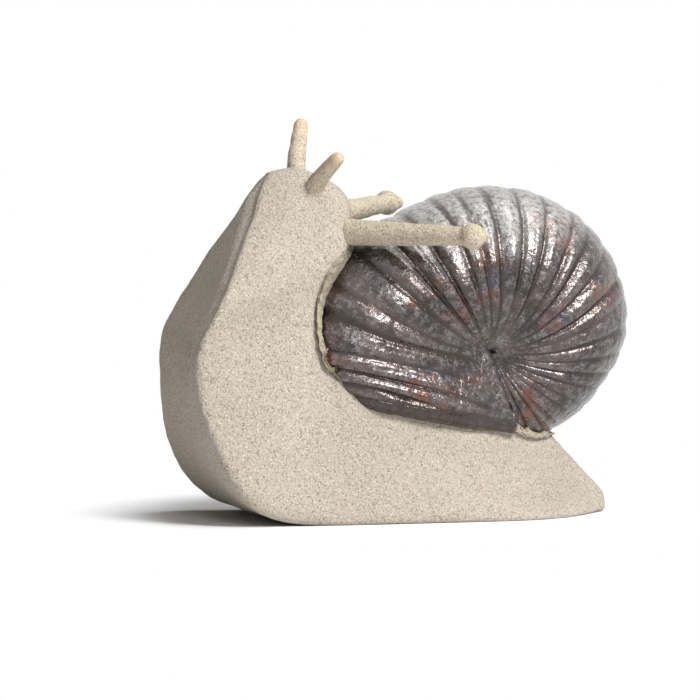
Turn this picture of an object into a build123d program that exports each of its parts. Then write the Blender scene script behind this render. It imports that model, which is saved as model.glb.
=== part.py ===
"""A stoneware snail figurine, as the separate pieces that the potter makes and joins.

Sizes are in millimetres. The snail looks towards -X with its head raised, its foot stands on
Z = 0, and Y runs across it. It is drawn with its chest at X = 0, and moved at the end so that the
middle of its outline, seen from above, is the origin.
"""

from build123d import *
from math import cos, radians, sin
import os

# Hollow clay body
BODY_LENGTH = 54.0
BODY_HEIGHT = 42.4
SOLE_WIDTH = 25.8
SOLE_EDGE = 1.6
FOOT_TRIM = 0.15
BODY_WALL = 3.2
VENT_DIAMETER = 3.0

# Glazed shell, a hollow coil that widens from its navel to its lip
SHELL_RADIUS = 20.3
SHELL_HALF_WIDTH = 11.6
SHELL_WALL = 2.4
NAVEL_DIAMETER = 2.4
RIB_DEPTH = 0.5
COIL_RIBS = 22
LIP_RIBS = 3

# Bead of slip that seals the shell to the body
BEAD_WIDTH = 0.65

# Rolled eye stalks, each with a ball of clay on its end
STALK_ROOT_DIAMETER = 3.5
STALK_NECK_DIAMETER = 2.15
EYE_DIAMETER = 3.1
EYE_NUB_DIAMETER = 1.7
EYE_SPREAD = 38.0
EYE_HEIGHT = 35.8
EYE_LEAN = 1.4

# Rolled feelers on the crown
FEELER_ROOT_DIAMETER = 2.6
FEELER_TIP_DIAMETER = 1.75
FEELER_SPREAD = 17.4
FEELER_RISE = 3.75
FEELER_LEAN = 1.85

# How far a cutting form runs past what it cuts
OVERRUN = 2.0

# Body sections, tail to crown. Along and up are shares of the body's length from the chest and of
# its height, half widths are shares of the sole's, the bow is a share of the section's height, and
# the rounding is a share of the back's half width.
BODY_SECTION_SHARES = [
    # sole along, sole up, back along, back up, sole half, back half, side bow, rounding
    (0.984, 0.000, 1.000, 0.052, 0.200, 0.070, 0.00, 0.50),
    (0.960, 0.000, 0.972, 0.092, 0.310, 0.080, -0.03, 0.50),
    (0.911, 0.000, 0.922, 0.160, 0.511, 0.100, -0.07, 0.50),
    (0.837, 0.000, 0.848, 0.252, 0.744, 0.200, -0.09, 0.50),
    (0.726, 0.000, 0.740, 0.335, 0.922, 0.430, -0.07, 0.45),
    (0.578, 0.000, 0.598, 0.380, 1.000, 0.600, -0.03, 0.40),
    (0.430, 0.000, 0.486, 0.408, 1.008, 0.670, 0.00, 0.34),
    (0.300, 0.001, 0.396, 0.444, 0.977, 0.700, 0.02, 0.32),
    (0.204, 0.012, 0.350, 0.470, 0.961, 0.710, 0.03, 0.32),
    (0.128, 0.047, 0.322, 0.502, 1.000, 0.700, 0.03, 0.32),
    (0.070, 0.120, 0.307, 0.535, 0.992, 0.690, 0.03, 0.34),
    (0.035, 0.212, 0.303, 0.570, 0.907, 0.670, 0.03, 0.38),
    (0.009, 0.318, 0.306, 0.607, 0.798, 0.640, 0.03, 0.42),
    (0.000, 0.425, 0.315, 0.645, 0.744, 0.610, 0.03, 0.46),
    (0.009, 0.514, 0.335, 0.688, 0.760, 0.580, 0.03, 0.50),
    (0.039, 0.587, 0.361, 0.734, 0.798, 0.555, 0.03, 0.54),
    (0.072, 0.672, 0.388, 0.786, 0.721, 0.530, 0.04, 0.60),
    (0.111, 0.767, 0.392, 0.840, 0.535, 0.500, 0.06, 0.72),
    (0.144, 0.849, 0.396, 0.894, 0.357, 0.440, 0.08, 0.75),
    (0.172, 0.915, 0.372, 0.941, 0.217, 0.360, 0.10, 0.75),
    (0.196, 0.958, 0.326, 0.976, 0.132, 0.233, 0.12, 0.75),
    (0.220, 0.984, 0.278, 0.998, 0.062, 0.093, 0.12, 0.75),
]
# How far the sole is dished across, and how high up it first has that dish in full
SOLE_DISH_SHARE = 0.05
DISH_FULL_UP_SHARE = 0.3
# The most that a sole's edge and a back's rounding take of a section's height
SOLE_EDGE_MOST_SHARE = 0.25
ROUNDING_MOST_SHARE = 0.33
# The hollow is left out where half a section is narrower than this many walls
HOLLOW_LEAST_WALLS = 1.5
# The hollow needs only each so many of the body's sections
HOLLOW_SECTION_STEP = 3
# The surface runs straight between sections, of which there are so many for each row above
SECTIONS_A_ROW = 2

# Where the vent in the foot and the flue in the back are, as shares of the body's length
VENT_ALONG_SHARE = 0.36
FLUE_ALONG_SHARE = 0.62

# The navel in the side view, as shares of the body's length from the chest and of its height
NAVEL_PLACE_SHARES = (0.698, 0.472)

# The coil, by degrees round the navel above +X: its radius as a share of SHELL_RADIUS, where across
# that radius it is fullest, and its half widths there and at the navel as shares of SHELL_HALF_WIDTH
COIL_SHARES = [
    # degrees, radius, fullest at, half width, half width at the navel
    (-78.0, 0.640, 0.46, 0.600, 0.500),
    (-46.0, 0.690, 0.46, 0.650, 0.510),
    (-17.0, 0.813, 0.46, 0.720, 0.530),
    (6.0, 0.940, 0.46, 0.800, 0.550),
    (31.0, 1.000, 0.46, 0.870, 0.570),
    (60.0, 1.010, 0.46, 0.930, 0.590),
    (92.0, 0.970, 0.46, 0.970, 0.600),
    (120.0, 0.945, 0.48, 0.990, 0.600),
    (142.0, 1.050, 0.53, 1.000, 0.600),
    (160.0, 1.160, 0.59, 1.000, 0.610),
    (178.0, 1.250, 0.64, 1.000, 0.620),
]
# The lip, from the coil's last section to the mouth on the body: where each section starts and
# ends, as shares of SHELL_RADIUS from the navel, and the same widths as the coil's
LIP_SHARES = [
    # start along, start up, end along, end up, fullest at, half width, half width at the start
    (0.050, -0.110, -1.240, -0.030, 0.66, 1.000, 0.640),
    (0.090, -0.225, -1.200, -0.080, 0.66, 0.990, 0.660),
    (0.125, -0.335, -1.140, -0.125, 0.64, 0.960, 0.670),
    (0.195, -0.445, -1.060, -0.185, 0.60, 0.860, 0.660),
]
# How full a section's curves are, from the navel to its fullest place and on to the rim
NAVEL_SLOPE_SHARES = (0.45, 0.40)
SHOULDER_SHARE = 0.45
RIM_SHARE = 0.56
# How much the ribs' pitch grows from the first to the last, and one rib across: place and dip
RIB_GAIN_SHARE = 0.42
RIB_PROFILE_SHARES = [(0.0, 1.0), (0.28, 0.08), (0.72, 0.08)]
# How far the mouth's proud edge is rounded in, as a share of the ribs' depth
MOUTH_DIP_SHARE = 0.3
# How far the navel's plug overlaps the coil, and how far it stands out, as shares
PLUG_DIAMETER_SHARE = 1.25
PLUG_DEPTH_SHARE = 0.5
# The bead follows the shell without its ribs, through so many sections round the coil
BEAD_COIL_STEPS = 9
# Where the shell's hollow begins, in degrees round the navel
HOLLOW_FIRST_DEGREES = -10.0
HOLLOW_STEPS = 5

# Eye stalks: root inside the head and eye, as shares of the body's length and of the sole's width
STALK_ROOT_SHARES = (0.345, 0.125)
STALK_ROOT_UP_SHARE = 0.832
EYE_ALONG_SHARE = 0.59
NUB_REACH_SHARE = 0.34

# Feelers: root inside the crown, bend and tip, as shares of the body's length, height and the
# sole's width
FEELER_ROOT_SHARES = (0.284, 0.905, 0.13)
FEELER_BEND_SHARES = (0.44, 0.55)
FEELER_ALONG_SHARE = 0.334
# The rings of a roll's domed end, in degrees up the dome
DOME_DEGREES = (40.0, 78.0)


def blend(table, at):
    """The row of a table at a place, with its first column as the place, by smooth curves."""
    last = len(table) - 1
    n = max(0, min(last - 1, sum(1 for row in table if row[0] <= at) - 1))
    before, near, far, after = (table[max(0, min(last, k))] for k in (n - 1, n, n + 1, n + 2))
    gap = far[0] - near[0]
    t = (at - near[0]) / gap
    values = []
    for k in range(1, len(near)):
        slope_near = gap * (far[k] - before[k]) / (far[0] - before[0])
        slope_far = gap * (after[k] - near[k]) / (after[0] - near[0])
        rise = far[k] - near[k]
        square = 3 * rise - 2 * slope_near - slope_far
        cube = slope_near + slope_far - 2 * rise
        values.append(near[k] + slope_near * t + square * t**2 + cube * t**3)
    return values


def side_point(along_share, up_share):
    """A point of the side view, from shares of the body's length and height."""
    return Vector(along_share * BODY_LENGTH, 0, up_share * BODY_HEIGHT)


def section_plane(inner, outer):
    """Plane through two points of the side view, with its x across the snail and y to outer."""
    across = Vector(0, 1, 0)
    return Plane(origin=inner, x_dir=across, z_dir=across.cross(outer - inner))


def mirrored(curves):
    """The same curves on the other side of a section, running on from the first ones."""
    return [[Vector(-p.X, p.Y) for p in reversed(curve)] for curve in reversed(curves)]


def outline(plane, curves, plain=False):
    """A closed wire on a plane, from curves given by their control points, or plainly by their ends."""
    edges = []
    for curve in curves:
        points = [plane.from_local_coords(p) for p in (curve[:: len(curve) - 1] if plain else curve)]
        edges.append(Line(*points) if len(points) == 2 else Bezier(*points))
    return Wire(edges)


def body_section(shares, grow, plain=False):
    """One outline across the body: sole, rounded edges, leaning sides and rounded back."""
    sole_along, sole_up, back_along, back_up, sole_share, back_share, bow, rounding = shares
    sole, back = side_point(sole_along, sole_up), side_point(back_along, back_up)
    up = (back - sole).normalized()
    sole, back = sole - up * (grow + FOOT_TRIM), back + up * grow
    sole_half = sole_share * SOLE_WIDTH / 2 + grow
    back_half = back_share * SOLE_WIDTH / 2 + grow
    height = (back - sole).length
    lean = Vector(back_half - sole_half, height).normalized()
    edge = min(SOLE_EDGE, sole_half / 2, SOLE_EDGE_MOST_SHARE * height)
    round_off = min(rounding * back_half, ROUNDING_MOST_SHARE * height)
    dish = SOLE_DISH_SHARE * sole_half * min(sole_up / DISH_FULL_UP_SHARE, 1)
    low = [Vector(sole_half - edge, 0), Vector(sole_half, 0), Vector(sole_half, 0) + lean * edge]
    high = [
        Vector(back_half, height) - lean * round_off,
        Vector(back_half, height),
        Vector(back_half - round_off, height),
    ]
    bulge = Vector(lean.Y, -lean.X) * bow * height
    side = [low[2], (low[2] + high[0]) / 2 + bulge, high[0]]
    right = [low, side, high]
    top = [high[2], Vector(0, height), Vector(-high[2].X, height)]
    sole_line = [Vector(-low[0].X, 0), Vector(0, dish), low[0]]
    return outline(section_plane(sole, back), [*right, top, *mirrored(right), sole_line], plain)


def body_form(grow=0.0):
    """The body as one smooth form, grown by a distance, and cut flat where it stands."""
    table = [(n, *row) for n, row in enumerate(BODY_SECTION_SHARES)]
    steps = SECTIONS_A_ROW * (len(table) - 1)
    rows = [blend(table, n / SECTIONS_A_ROW) for n in range(steps + 1)]
    form = Solid.make_loft([body_section(row, grow) for row in rows], ruled=True)
    ground = Box(
        BODY_LENGTH + 2 * (OVERRUN + grow),
        SOLE_WIDTH + 2 * (OVERRUN + grow),
        OVERRUN + grow,
        align=(Align.CENTER, Align.CENTER, Align.MAX),
    )
    return (form - Pos(BODY_LENGTH / 2, 0, 0) * ground).solid()


def body_hollow():
    """The space inside the body, one wall in from its surface."""
    least = HOLLOW_LEAST_WALLS * BODY_WALL
    wide = [row for row in BODY_SECTION_SHARES if min(row[4], row[5]) * SOLE_WIDTH / 2 > least]
    sections = [body_section(row, -BODY_WALL, plain=True) for row in wide[::HOLLOW_SECTION_STEP]]
    return Solid.make_loft(sections, ruled=True)


def vents():
    """The vent through the foot, and the flue from the body's hollow up into the shell's."""
    seat_height = BODY_HEIGHT / 2
    vent = Cylinder(VENT_DIAMETER / 2, 2 * BODY_WALL)
    flue = Cylinder(VENT_DIAMETER / 2, seat_height, align=(Align.CENTER, Align.CENTER, Align.MIN))
    return (
        Pos(VENT_ALONG_SHARE * BODY_LENGTH, 0, 0) * vent
        + Pos(FLUE_ALONG_SHARE * BODY_LENGTH, 0, 2 * BODY_WALL) * flue
    )


def whorl_section(start, end, fullest_at, half, start_half, core, plain=False):
    """One outline across the shell, from a distance past its start out to its rim."""
    reach = (end - start).length
    fullest = core + fullest_at * (reach - core)
    slope_across, slope_out = NAVEL_SLOPE_SHARES
    flank = [
        Vector(start_half, core),
        Vector(start_half + (half - start_half) * slope_across, core + (fullest - core) * slope_out),
        Vector(half, fullest - (fullest - core) * SHOULDER_SHARE),
        Vector(half, fullest),
    ]
    rim = [
        Vector(half, fullest),
        Vector(half, fullest + (reach - fullest) * RIM_SHARE),
        Vector(half * RIM_SHARE, reach),
        Vector(0, reach),
    ]
    right = [flank, rim]
    base = [Vector(-start_half, core), Vector(start_half, core)]
    return outline(section_plane(start, end), [*right, *mirrored(right), base], plain)


def coil_section(degrees_round, dip=0.0, grow=0.0, core=NAVEL_DIAMETER / 2, plain=False):
    """Outline across the coil at an angle round the navel, sunk by a groove's depth."""
    radius, fullest_at, half, start_half = blend(COIL_SHARES, degrees_round)
    turn = radians(degrees_round)
    navel = side_point(*NAVEL_PLACE_SHARES)
    rim = navel + Vector(cos(turn), 0, sin(turn)) * (radius * SHELL_RADIUS + grow - dip)
    width = half * SHELL_HALF_WIDTH + grow - dip
    start_width = start_half * SHELL_HALF_WIDTH + grow
    return whorl_section(navel, rim, fullest_at, width, start_width, core, plain)


def lip_section(at, dip=0.0, grow=0.0, core=NAVEL_DIAMETER / 2, past=0.0, plain=False):
    """Outline across the lip, from 0 where it leaves the coil to 1 at the mouth, or past it."""
    last_degrees, radius, *widths = COIL_SHARES[-1]
    turn = radians(last_degrees)
    first = (0, 0, radius * cos(turn), radius * sin(turn), *widths)
    table = [(n / len(LIP_SHARES), *row) for n, row in enumerate([first, *LIP_SHARES])]
    start_along, start_up, end_along, end_up, fullest_at, half, start_half = blend(table, at)
    navel = side_point(*NAVEL_PLACE_SHARES)
    start = navel + Vector(start_along, 0, start_up) * SHELL_RADIUS
    end = navel + Vector(end_along, 0, end_up) * SHELL_RADIUS
    outward = (end - start).normalized()
    downward = outward.cross(Vector(0, 1, 0))
    start, end = start + downward * past, end + downward * past + outward * (grow - dip)
    width = half * SHELL_HALF_WIDTH + grow - dip
    start_width = start_half * SHELL_HALF_WIDTH + grow
    return whorl_section(start, end, fullest_at, width, start_width, core, plain)


def coil_place(share):
    """Degrees round the navel for a share of the coil's ribs, which widen as the shell grew."""
    first, last = COIL_SHARES[0][0], COIL_SHARES[-1][0]
    return first + (last - first) * share * (1 + RIB_GAIN_SHARE * share) / (1 + RIB_GAIN_SHARE)


def lip_place(share):
    """Place along the lip for a share of its ribs, which are evenly spaced."""
    return share


def ribbed(section, place, ribs, last_dip_share=1.0):
    """One stretch of the shell: each rib is a narrow groove and a broad rounded crest."""
    wires = [
        section(place((n + at) / ribs), dip * RIB_DEPTH)
        for n in range(ribs)
        for at, dip in RIB_PROFILE_SHARES
    ]
    last = section(place(1), last_dip_share * RIB_DEPTH)
    return Solid.make_loft([*wires, last], ruled=True)


def shell_form():
    """The whole shell before it is hollowed and cut to the body: coil, lip and navel plug."""
    coil = ribbed(coil_section, coil_place, COIL_RIBS)
    lip = ribbed(lip_section, lip_place, LIP_RIBS, MOUTH_DIP_SHARE)
    plug_half = COIL_SHARES[-1][-1] * SHELL_HALF_WIDTH - PLUG_DEPTH_SHARE * NAVEL_DIAMETER / 2
    plug = Cylinder(PLUG_DIAMETER_SHARE * NAVEL_DIAMETER / 2, 2 * plug_half)
    return (coil + Pos(side_point(*NAVEL_PLACE_SHARES)) * Rot(90, 0, 0) * plug + lip).solid()


def smooth_shell(grow):
    """The shell without its ribs, grown by a distance on its flanks, rim and mouth."""
    places = [coil_place(n / BEAD_COIL_STEPS) for n in range(BEAD_COIL_STEPS + 1)]
    coil = [coil_section(place, 0, grow) for place in places]
    lip = [lip_section(n / LIP_RIBS, 0, grow) for n in range(LIP_RIBS + 1)]
    mouth = lip_section(1, 0, grow, past=grow)
    return Solid.make_loft(coil) + Solid.make_loft([*lip, mouth])


def shell_hollow():
    """The space inside the shell, one wall in from its surface, open to the body below."""
    core = NAVEL_DIAMETER / 2 + SHELL_WALL
    last = COIL_SHARES[-1][0]
    step = (last - HOLLOW_FIRST_DEGREES) / HOLLOW_STEPS
    turns = [HOLLOW_FIRST_DEGREES + n * step for n in range(HOLLOW_STEPS)]
    coil = [coil_section(turn, 0, -SHELL_WALL, core, plain=True) for turn in turns]
    lip = [lip_section(at, 0, -SHELL_WALL, core, plain=True) for at in (0, 1)]
    return Solid.make_loft([*coil, *lip], ruled=True)


def ring(point, along, diameter):
    """A circle square to a direction, turned alike on every roll."""
    plane = Plane(origin=point, x_dir=along.cross(Vector(0, 1, 0)), z_dir=along)
    return Wire(Edge.make_circle(diameter / 2, plane))


def roll(points, diameters, domed):
    """A tapered roll of clay through some points, with a flat or a domed end."""
    last = len(points) - 1
    rings = []
    for n, (point, diameter) in enumerate(zip(points, diameters)):
        along = (points[min(n + 1, last)] - points[max(n - 1, 0)]).normalized()
        rings.append(ring(point, along, diameter))
    if domed:
        for up in DOME_DEGREES:
            rise, width = sin(radians(up)), cos(radians(up))
            top = points[-1] + along * rise * diameters[-1] / 2
            rings.append(ring(top, along, width * diameters[-1]))
    return Solid.make_loft(rings, ruled=True)


def eye_place(side):
    """The middle of an eye ball: side is -1 for the near one and 1 for the far one."""
    reach = (EYE_SPREAD - EYE_DIAMETER) / 2
    return Vector(EYE_ALONG_SHARE * BODY_LENGTH, side * reach, EYE_HEIGHT + side * EYE_LEAN)


def eye_stalk(side):
    """A tapered roll from inside the head to the middle of the eye ball."""
    along, across = STALK_ROOT_SHARES
    root_up = STALK_ROOT_UP_SHARE * BODY_HEIGHT + side * EYE_LEAN / 2
    root = Vector(along * BODY_LENGTH, side * across * SOLE_WIDTH, root_up)
    return roll([root, eye_place(side)], [STALK_ROOT_DIAMETER, STALK_NECK_DIAMETER], False)


def eye_ball(side):
    """A ball of clay with a small blunt nub that points back along the snail."""
    eye = eye_place(side)
    nub = eye + Vector((EYE_DIAMETER - EYE_NUB_DIAMETER) / 2 + NUB_REACH_SHARE * EYE_NUB_DIAMETER, 0, 0)
    return Pos(eye) * Sphere(EYE_DIAMETER / 2) + roll([eye, nub], [EYE_NUB_DIAMETER] * 2, True)


def feeler(side):
    """A short tapered roll that stands on the crown and bends a little towards its tip."""
    along, up, across = FEELER_ROOT_SHARES
    root_up = up * BODY_HEIGHT + side * FEELER_LEAN / 2
    root = Vector(along * BODY_LENGTH, side * across * SOLE_WIDTH / 2, root_up)
    tip_up = BODY_HEIGHT + FEELER_RISE + side * FEELER_LEAN - FEELER_TIP_DIAMETER / 2
    tip_across = side * (FEELER_SPREAD - FEELER_TIP_DIAMETER) / 2
    tip = Vector(FEELER_ALONG_SHARE * BODY_LENGTH, tip_across, tip_up)
    sideways, upwards = FEELER_BEND_SHARES
    reach = tip - root
    bend = root + Vector(reach.X * sideways, reach.Y * sideways, reach.Z * upwards)
    mean = (FEELER_ROOT_DIAMETER + FEELER_TIP_DIAMETER) / 2
    return roll([root, bend, tip], [FEELER_ROOT_DIAMETER, mean, FEELER_TIP_DIAMETER], True)


def seam_bead(form, whole_shell):
    """The bead of slip that fills the corner between the shell and the body all round."""
    skin = body_form(BEAD_WIDTH) - form
    return (smooth_shell(BEAD_WIDTH) & skin) - whole_shell


def make_pieces():
    """Every piece by name, where it stands on the snail, with its chest at X = 0."""
    form = body_form()
    whole_shell = shell_form()
    pieces = {
        "body": form - body_hollow() - vents(),
        "shell": whole_shell - form - shell_hollow(),
        "seam_bead": seam_bead(form, whole_shell),
    }
    for side, name in ((-1, "near"), (1, "far")):
        stalk = eye_stalk(side)
        pieces["seam_bead"] -= stalk
        pieces[name + "_eye_stalk"] = stalk - form
        pieces[name + "_eye_ball"] = eye_ball(side) - stalk
        pieces[name + "_feeler"] = feeler(side) - form
    return pieces


def ground_middle(pieces):
    """The point on the ground below the middle of all the pieces, seen from above."""
    boxes = [piece.bounding_box() for piece in pieces]
    low = Vector(*(min(tuple(box.min)[k] for box in boxes) for k in range(3)))
    high = Vector(*(max(tuple(box.max)[k] for box in boxes) for k in range(3)))
    return Vector((low.X + high.X) / 2, (low.Y + high.Y) / 2, low.Z)


if __name__ == "__main__":
    pieces = make_pieces()
    to_origin = Pos(-ground_middle(pieces.values()))
    os.makedirs("parts", exist_ok=True)
    for name, piece in pieces.items():
        placed = to_origin * piece
        export_step(placed, "parts/" + name + ".step")
        print(name, len(placed.solids()), "solid", round(placed.volume, 1), "mm3")
    print("moved by", to_origin.position)
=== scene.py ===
"""Looks of a stoneware snail figurine: sandy bare clay, a ribbed glazed shell and a slip seam.

Lengths are in metres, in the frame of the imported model: the snail looks towards -X, stands on
Z = 0, and Y runs across it. Shares and weights have no unit.
"""

import logging
import math
from dataclasses import dataclass
from enum import Enum
from typing import Sequence

import bmesh
import bpy
import numpy as np
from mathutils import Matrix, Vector, noise
from mathutils.bvhtree import BVHTree


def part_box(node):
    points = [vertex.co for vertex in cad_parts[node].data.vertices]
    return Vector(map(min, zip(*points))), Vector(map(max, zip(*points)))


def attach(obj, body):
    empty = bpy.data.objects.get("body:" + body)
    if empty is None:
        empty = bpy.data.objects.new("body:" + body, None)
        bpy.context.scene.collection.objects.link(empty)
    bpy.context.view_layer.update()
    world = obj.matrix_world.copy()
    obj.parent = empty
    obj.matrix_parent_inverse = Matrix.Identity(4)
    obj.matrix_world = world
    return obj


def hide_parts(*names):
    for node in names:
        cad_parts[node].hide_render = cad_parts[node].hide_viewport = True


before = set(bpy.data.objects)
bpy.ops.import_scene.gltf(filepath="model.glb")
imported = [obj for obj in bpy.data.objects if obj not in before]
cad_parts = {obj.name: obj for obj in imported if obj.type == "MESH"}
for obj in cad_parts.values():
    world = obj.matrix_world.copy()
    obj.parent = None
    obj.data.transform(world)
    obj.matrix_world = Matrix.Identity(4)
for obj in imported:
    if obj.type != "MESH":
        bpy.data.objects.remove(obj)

LOG = logging.getLogger("snail")
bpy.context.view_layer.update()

Colour = tuple[float, float, float]
Place = tuple[float, float, float]
Pair = tuple[float, float]
Row = tuple[float, ...]
Piece = bpy.types.Object
Finish = bpy.types.Material
Socket = bpy.types.NodeSocket

WHITE: Colour = (1.0, 1.0, 1.0)
ROLLED_CLAY: Colour = (0.670, 0.570, 0.430)
# how far a seed of 1 moves the noise along each axis
SEED_SHIFT: Place = (17.3, 5.1, 9.7)
# how far one round of smoothing moves a vertex towards its neighbours' middle
SMOOTHING_STEP = 0.5
# how near two of a CAD node's points are to be one, as a share of the new mesh's cells
WELD_SHARE = 0.01


class Side(Enum):
    """The snail's two sides, by the sign of Y and the first word of their nodes' names."""

    NEAR = -1
    FAR = 1

    @property
    def word(self) -> str:
        """First word of the side's node names."""
        return self.name.lower()


class Slot(Enum):
    """The record's material slots."""

    BARE_CLAY = "bare_clay"
    ROLLED_CLAY = "rolled_clay"
    GLAZE = "shell_glaze"
    SLIP = "seam_slip"


# Fields of numbers


def lumps(points: np.ndarray, grain: float, seed: int) -> np.ndarray:
    """Smooth random heights at some points, from about -1 to 1, with lumps of a size."""
    shift = Vector([seed * step for step in SEED_SHIFT])
    return np.array([noise.noise(Vector(point) / grain + shift) for point in points])


def lumpy(points: np.ndarray, grains: Row, heights: Row, seed: int) -> np.ndarray:
    """Heights of points in layers of lumps, each with its grain, its height and the next seed."""
    layers = enumerate(zip(grains, heights))
    return sum(height * lumps(points, grain, seed + n) for n, (grain, height) in layers)


def eased(values: np.ndarray | float, start: float, end: float) -> np.ndarray:
    """Values from 0 at start to 1 at end, with a soft beginning and finish."""
    t = np.clip((values - start) / (end - start), 0, 1)
    return t * t * (3 - 2 * t)


def blended(table: Sequence[Row], at: float) -> np.ndarray:
    """Row of a table at a place, by smooth curves through its rows.

    Args:
        table: Rows that begin with their place, in rising order.
        at: The place looked up.

    Returns:
        The row's values without its place.
    """
    last = len(table) - 1
    n = max(0, min(last - 1, sum(1 for row in table if row[0] <= at) - 1))
    around = [table[max(0, min(last, k))] for k in (n - 1, n, n + 1, n + 2)]
    before, near, far, after = (np.array(row) for row in around)
    gap = far[0] - near[0]
    t = (at - near[0]) / gap
    slope_near = gap * (far - before)[1:] / (far[0] - before[0])
    slope_far = gap * (after - near)[1:] / (after[0] - near[0])
    rise = (far - near)[1:]
    square = 3 * rise - 2 * slope_near - slope_far
    cube = slope_near + slope_far - 2 * rise
    return near[1:] + slope_near * t + square * t**2 + cube * t**3


def bezier(controls: Sequence[Pair], steps: int) -> np.ndarray:
    """Points along a cubic curve.

    Args:
        controls: Its ends, with two control points between them.
        steps: How many points.

    Returns:
        The points, both ends included, one a row.
    """
    t = np.linspace(0, 1, steps)[:, None]
    a, b, c, d = (np.array(point) for point in controls)
    return a * (1 - t) ** 3 + 3 * b * t * (1 - t) ** 2 + 3 * c * t**2 * (1 - t) + d * t**3


# Meshes


def vertex_rows(piece: Piece, kind: str) -> np.ndarray:
    """One value of three numbers for each of a piece's vertices.

    Args:
        piece: The piece.
        kind: What is read, such as co for places or normal for outward directions.

    Returns:
        The values, one vertex a row.
    """
    flat = np.empty(len(piece.data.vertices) * 3)
    piece.data.vertices.foreach_get(kind, flat)
    return flat.reshape(-1, 3)


def points_of(piece: Piece) -> np.ndarray:
    """Places of a piece's vertices, one a row."""
    return vertex_rows(piece, "co")


def normals_of(piece: Piece) -> np.ndarray:
    """Outward directions at a piece's vertices, one a row."""
    return vertex_rows(piece, "normal")


def move_points(piece: Piece, points: np.ndarray) -> None:
    """Puts a piece's vertices at new places."""
    piece.data.vertices.foreach_set("co", points.ravel())
    piece.data.update()


def keep_values(piece: Piece, name: str, values: np.ndarray) -> None:
    """Stores one number a vertex under a name that its material can read."""
    layer = piece.data.attributes.new(name, "FLOAT", "POINT")
    layer.data.foreach_set("value", values.astype(np.float32))


def linked(name: str, data: bpy.types.ID) -> bpy.types.Object:
    """Puts a mesh, a lamp or a camera in the scene.

    Args:
        name: The new object's name.
        data: What it shows.

    Returns:
        The new object.
    """
    thing = bpy.data.objects.new(name, data)
    bpy.context.scene.collection.objects.link(thing)
    return thing


def smoothed(piece: Piece, rounds: int, group: str = "") -> None:
    """Adds smoothing to a piece.

    Args:
        piece: The piece.
        rounds: How often it is smoothed.
        group: The vertices that are smoothed, by weight, or none for all of them.
    """
    smooth = piece.modifiers.new("Smooth", "SMOOTH")
    smooth.factor = SMOOTHING_STEP
    smooth.iterations = rounds
    smooth.vertex_group = group


def reworked(piece: Piece) -> None:
    """Applies a piece's modifiers to its mesh.

    Args:
        piece: The piece.
    """
    graph = bpy.context.evaluated_depsgraph_get()
    mesh = bpy.data.meshes.new_from_object(piece.evaluated_get(graph))
    piece.modifiers.clear()
    piece.data = mesh


def clay_copy(nodes: Sequence[str], name: str, voxel: float, smoothing: int) -> Piece:
    """A fine and even copy of CAD nodes, grown together and ready to be worked like clay.

    Args:
        nodes: The CAD nodes.
        name: The new piece's name.
        voxel: Size of one cell of the new mesh.
        smoothing: How often the new mesh is smoothed.

    Returns:
        The new piece, in the scene.
    """
    shape = bmesh.new()
    for node in nodes:
        shape.from_mesh(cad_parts[node].data)
    bmesh.ops.remove_doubles(shape, verts=shape.verts, dist=voxel * WELD_SHARE)
    mesh = bpy.data.meshes.new(name)
    shape.to_mesh(mesh)
    shape.free()
    piece = linked(name, mesh)
    remesh = piece.modifiers.new("Cells", "REMESH")
    remesh.mode = "VOXEL"
    remesh.voxel_size = voxel
    smoothed(piece, smoothing)
    reworked(piece)
    return piece


def settled(piece: Piece, nodes: Sequence[str], finish: Finish) -> None:
    """Dresses a finished piece and puts it in the place of CAD nodes.

    Args:
        piece: The piece.
        nodes: The CAD nodes that it stands for.
        finish: Its material.
    """
    piece.data.materials.clear()
    piece.data.materials.append(finish)
    piece.data.polygons.foreach_set("use_smooth", [True] * len(piece.data.polygons))
    piece.data.update()
    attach(piece, "root")
    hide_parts(*nodes)


def surface_of(piece: Piece) -> BVHTree:
    """Search tree of a piece's faces, for distances to them."""
    points = [vertex.co.copy() for vertex in piece.data.vertices]
    return BVHTree.FromPolygons(points, [list(face.vertices) for face in piece.data.polygons])


def nearness(points: np.ndarray, surface: BVHTree, most: float) -> tuple[np.ndarray, np.ndarray]:
    """How near some points are to a surface.

    Args:
        points: One point a row.
        surface: The surface's faces.
        most: Distance from which on a point isn't near at all.

    Returns:
        For each point, a value from 0 at that distance to 1 on the surface, and the direction that
        the surface faces there.
    """
    near, facing = np.zeros(len(points)), np.zeros((len(points), 3))
    for n, point in enumerate(points):
        _, normal, _, distance = surface.find_nearest(Vector(point), most)
        if distance is not None:
            near[n] = 1 - distance / most
            facing[n] = normal
    return near, facing


# Materials


@dataclass(frozen=True)
class Cloud:
    """Cloudy noise: the size of its spots, its finer layers and how much those count."""

    size: float
    detail: float = 2.0
    roughness: float = 0.5


@dataclass(frozen=True)
class Ramp:
    """A smooth change from low at start to high at end."""

    start: float
    end: float
    low: float = 0.0
    high: float = 1.0


@dataclass(frozen=True)
class Bumps:
    """How far a height field stands out, and how much of that shows."""

    distance: float
    strength: float


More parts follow.
